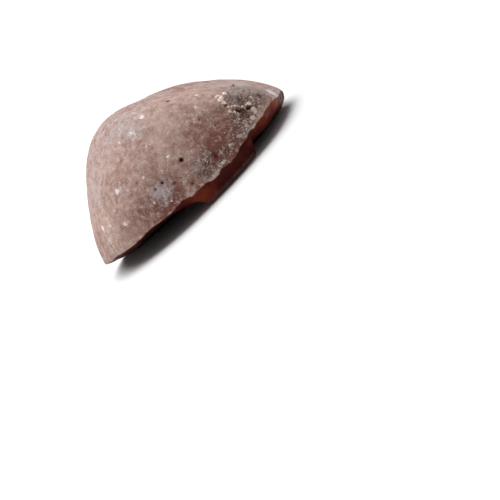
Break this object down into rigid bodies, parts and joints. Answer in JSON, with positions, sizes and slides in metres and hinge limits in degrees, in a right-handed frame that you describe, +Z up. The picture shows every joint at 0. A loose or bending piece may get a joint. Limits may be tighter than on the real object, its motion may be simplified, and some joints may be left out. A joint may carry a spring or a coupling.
{
  "type": "palm jaggery half ball",
  "caption": "Solid half ball of palm jaggery with a flat base, dented domed skin, one broken side of the rim and a crust of sugar crystals.",
  "frame": {"origin": "middle of the bounding box at the flat base the half ball rests on", "axes": "+Z up to the dome, +X along the longer way of the rim, -Y towards the broken side of the rim"},
  "size_m": [0.0782, 0.0764, 0.0376],
  "materials": {
    "jaggery": "dusty matte brown skin with pale sugar bloom, darker and glassier where broken"
  },
  "bodies": {
    "root": {"jaggery_half_ball": "jaggery"}
  },
  "joints": []
}
